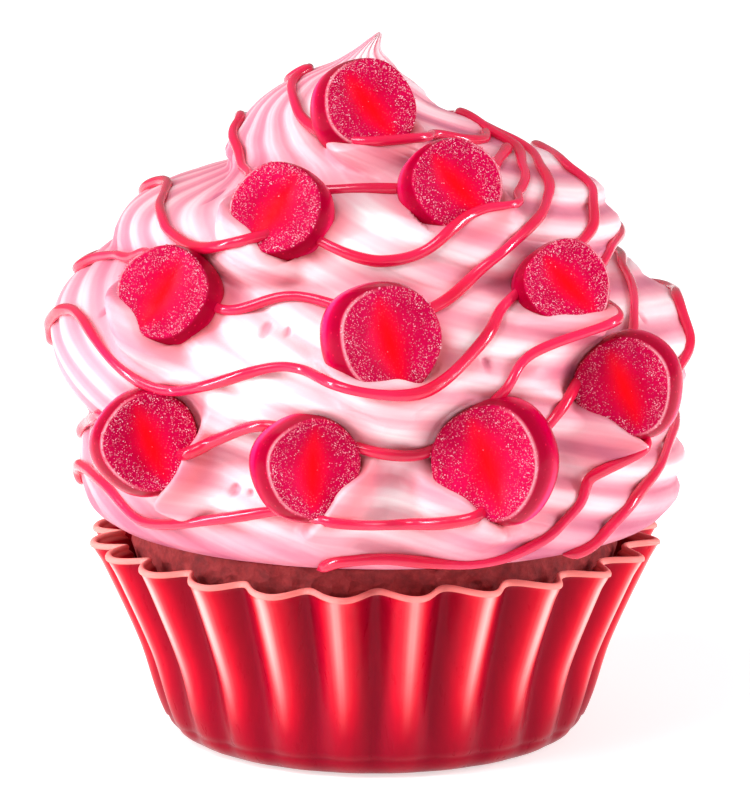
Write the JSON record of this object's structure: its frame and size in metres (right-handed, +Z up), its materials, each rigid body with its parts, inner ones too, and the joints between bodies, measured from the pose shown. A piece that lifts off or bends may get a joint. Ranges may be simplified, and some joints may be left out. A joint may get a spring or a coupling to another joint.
{
  "type": "cupcake",
  "caption": "Frosted cupcake in a fluted case: a piped mound of frosting with a wound drizzle and sugared jelly sweets pressed into it, standing on a flat foot.",
  "frame": {"origin": "the middle of the case's flat foot", "axes": "+Z up through the peak of the frosting, -Y towards the front with its ten sweets, +X to the right as seen from the front"},
  "size_m": [0.0784, 0.0851, 0.0869],
  "materials": {
    "case": "glossy coated paper",
    "cake": "matt crumb",
    "frosting": "satin cream",
    "drizzle": "glossy syrup",
    "sweet": "glossy jelly",
    "sugar": "sugar crystals"
  },
  "bodies": {
    "root": {"case": "case", "cake": "cake", "frosting": "frosting", "sweet_1": "sweet", "sweet_2": "sweet", "sweet_3": "sweet", "sweet_4": "sweet", "sweet_5": "sweet", "sweet_6": "sweet", "sweet_7": "sweet", "sweet_8": "sweet", "sweet_9": "sweet", "sweet_10": "sweet", "sweet_11": "sweet", "sweet_12": "sweet", "sweet_13": "sweet", "sweet_14": "sweet", "sweet_15": "sweet", "sweet_16": "sweet", "sweet_17": "sweet", "sweet_18": "sweet"}
  },
  "joints": []
}
